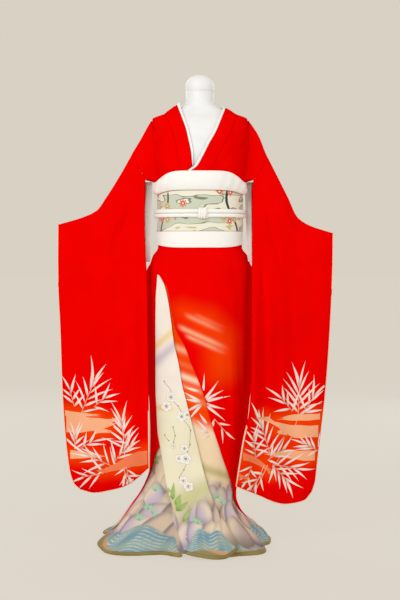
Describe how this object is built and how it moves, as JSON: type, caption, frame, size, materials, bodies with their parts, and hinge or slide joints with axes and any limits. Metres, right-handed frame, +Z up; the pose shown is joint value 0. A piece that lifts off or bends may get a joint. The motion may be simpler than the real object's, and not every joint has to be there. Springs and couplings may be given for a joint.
{
  "type": "trailing long-sleeved kimono on a limbless dress form",
  "caption": "Full-length trailing silk kimono with long hanging sleeves, painted skirt panels, rolled hem and a tied sash, resting on a smooth limbless dress form with a round base.",
  "frame": {"origin": "centre of the stand base's underside, on the floor", "axes": "+Z up the form's pole, -Y out of the garment's front, +X towards the wearer's left sleeve"},
  "size_m": [0.99, 0.6919, 1.69],
  "materials": {
    "red_silk": "bright red silk crepe with soft painted bamboo and mist",
    "painted_silk": "painted silk in cream, orange and grey-blue",
    "pale_lining": "off-white silk lining",
    "olive_hem": "olive brown padded hem roll",
    "white_sash": "white soft silk",
    "obi_brocade": "pale green brocade with woven pattern",
    "white_form": "smooth white",
    "painted_stand": "light grey painted pole and base"
  },
  "bodies": {
    "root": {"form_torso": "white_form", "form_cap": "white_form", "form_pole": "painted_stand", "form_base": "painted_stand", "body_left": "red_silk", "body_right": "red_silk", "sleeve_left": "red_silk", "sleeve_right": "red_silk", "collar": "red_silk", "collar_edge": "white_sash", "turned_back_lining": "pale_lining", "sleeve_lining_left": "pale_lining", "sleeve_lining_right": "pale_lining", "okumi_left": "painted_silk", "okumi_right": "painted_silk", "hem_roll_turned_back": "olive_hem", "hem_roll_left": "olive_hem", "hem_roll_right": "olive_hem", "hem_roll_train": "olive_hem", "lower_sash": "white_sash", "obi": "obi_brocade", "obi_age": "white_sash", "obi_drum": "obi_brocade", "obijime_upper": "white_sash", "obijime_lower": "white_sash", "obijime_knot": "white_sash"}
  },
  "joints": []
}
